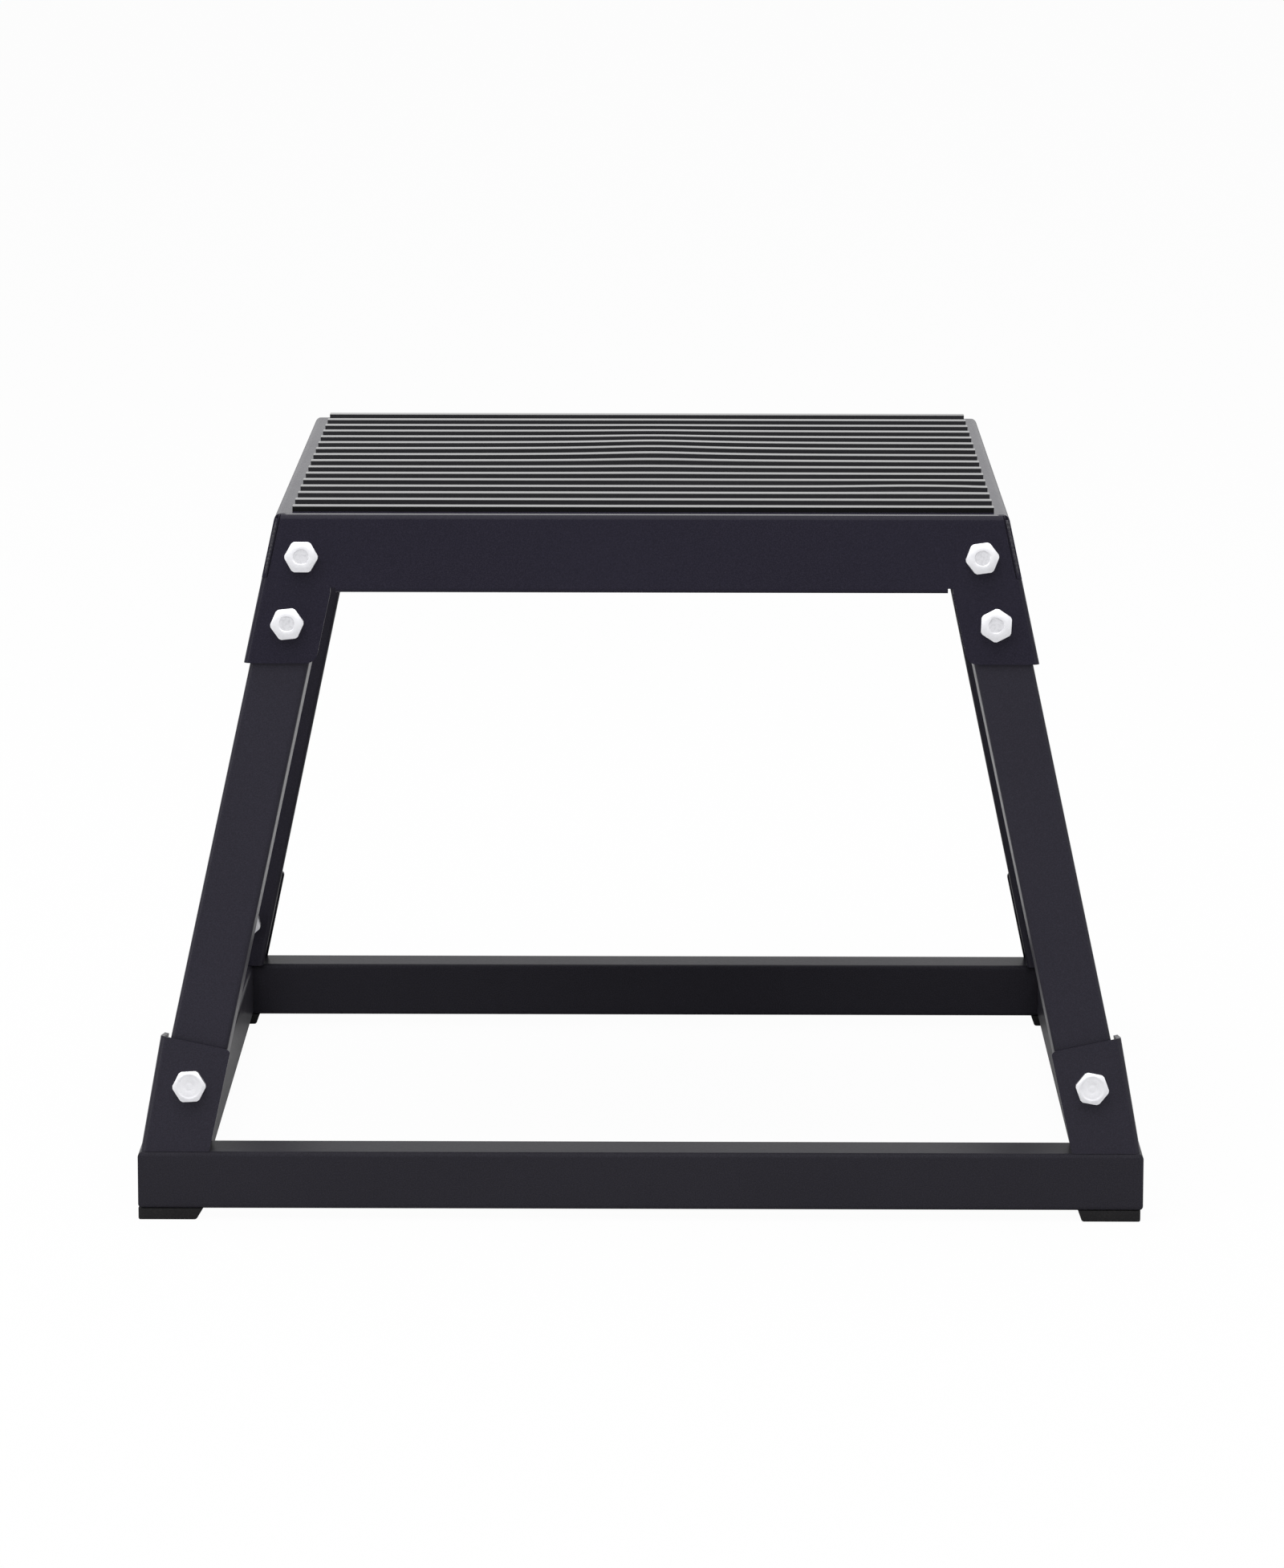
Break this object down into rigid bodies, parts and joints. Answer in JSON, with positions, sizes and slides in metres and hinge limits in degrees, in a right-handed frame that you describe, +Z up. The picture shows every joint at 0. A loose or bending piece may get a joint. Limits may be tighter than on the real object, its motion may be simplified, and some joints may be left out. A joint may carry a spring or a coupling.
{
  "type": "plyo box",
  "caption": "Low steel plyometric step: a folded platform with a ribbed rubber mat, bolted on leaning tube legs that stand in sockets on a square floor frame.",
  "frame": {"origin": "floor level at the centre of the floor frame", "axes": "+Z up, -Y towards the front seen in the picture, +X to that view's right"},
  "size_m": [0.434, 0.4354, 0.305],
  "materials": {
    "powder_coat": "fine textured satin black powder coat",
    "mat_rubber": "moulded matt black",
    "foot_rubber": "matt black",
    "zinc_hardware": "bright zinc plating"
  },
  "bodies": {
    "root": {"front_base_rail": "powder_coat", "rear_base_rail": "powder_coat", "left_base_rail": "powder_coat", "right_base_rail": "powder_coat", "front_left_socket": "powder_coat", "front_right_socket": "powder_coat", "rear_left_socket": "powder_coat", "rear_right_socket": "powder_coat", "front_left_leg": "powder_coat", "front_right_leg": "powder_coat", "rear_left_leg": "powder_coat", "rear_right_leg": "powder_coat", "platform_tray": "powder_coat", "ribbed_mat": "mat_rubber", "front_left_foot": "foot_rubber", "front_right_foot": "foot_rubber", "rear_left_foot": "foot_rubber", "rear_right_foot": "foot_rubber", "platform_bolts": "zinc_hardware", "platform_nuts": "zinc_hardware", "socket_bolts": "zinc_hardware", "socket_nuts": "zinc_hardware"}
  },
  "joints": []
}
